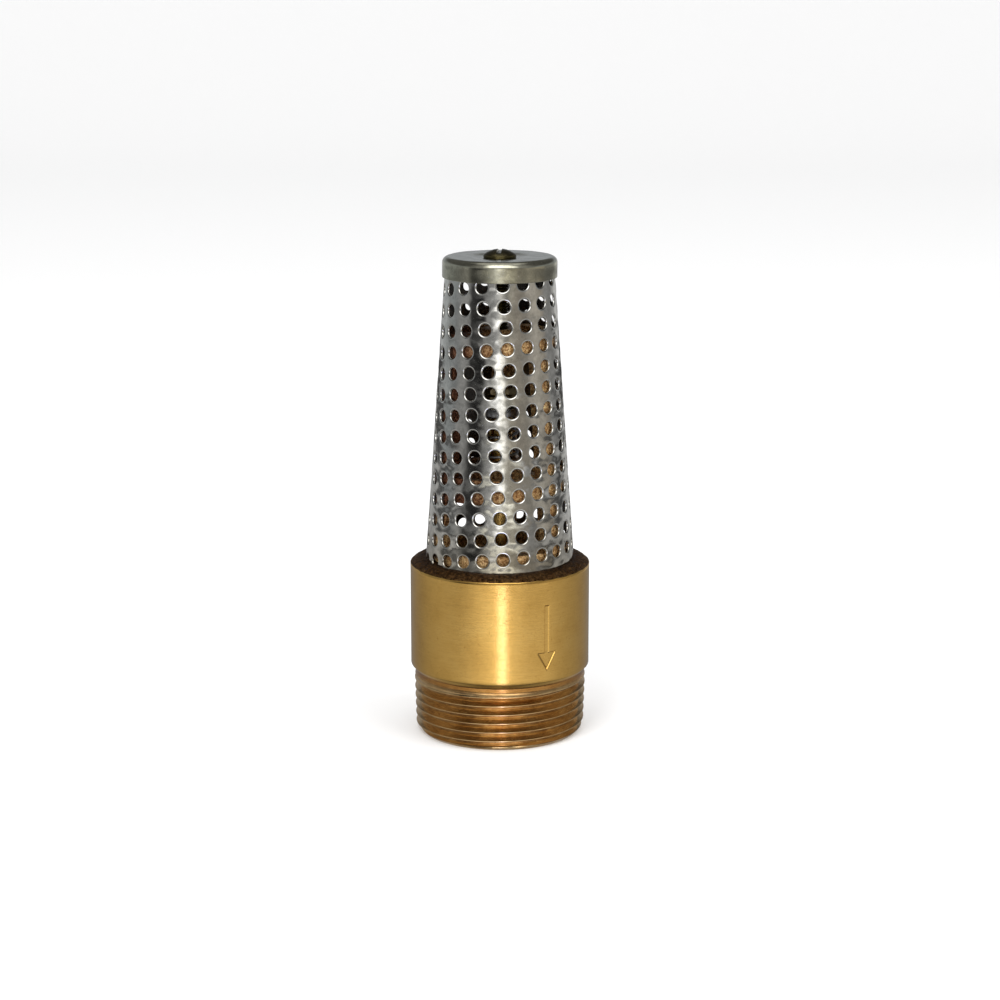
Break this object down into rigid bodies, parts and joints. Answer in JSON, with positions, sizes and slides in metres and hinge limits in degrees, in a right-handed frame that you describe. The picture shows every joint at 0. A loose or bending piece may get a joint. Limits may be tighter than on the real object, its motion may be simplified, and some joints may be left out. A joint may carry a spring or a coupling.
{
  "type": "foot valve",
  "caption": "Brass foot valve: pipe-threaded body, spring-closed poppet check and a tapered perforated steel strainer with a screwed cap.",
  "frame": {"origin": "centre of the outlet thread's end face, which the valve stands on", "axes": "+Z along the valve's axis, from the outlet thread to the strainer's cap; -Y is the front"},
  "size_m": [0.0438, 0.0438, 0.119],
  "materials": {
    "body_brass": "machined, satin, with fine turning marks",
    "cast_brass": "rough sand casting, unmachined",
    "turned_brass": "bright turned",
    "screw_brass": "dull, darkened",
    "bronze": "satin, porous",
    "seal_rubber": "matt black",
    "steel": "plain stainless",
    "spring_steel": "drawn stainless wire",
    "screen_steel": "bright rolled stainless sheet, punched",
    "cap_steel": "drawn, dull grey"
  },
  "bodies": {
    "housing": {"valve_body": "body_brass", "guide_cage": "cast_brass", "stem_bush": "bronze", "strainer_screen": "screen_steel", "strainer_cap": "cap_steel", "cap_screw": "screw_brass"},
    "poppet": {"poppet_stem": "turned_brass", "seal_retainer": "turned_brass", "poppet_seal": "seal_rubber", "poppet_disc": "turned_brass", "poppet_washer": "steel", "poppet_nut": "turned_brass", "spring_retainer": "steel", "retainer_nut": "turned_brass", "jam_nut": "turned_brass", "closing_spring": "spring_steel"}
  },
  "joints": [
    {"name": "poppet_lift", "type": "slide", "parent": "housing", "child": "poppet", "axis": [0, 0, -1], "range_m": [0, 0.006], "stiffness_N_per_m": 1490, "springref_m": -0.0012, "deforming": ["closing_spring"]}
  ]
}
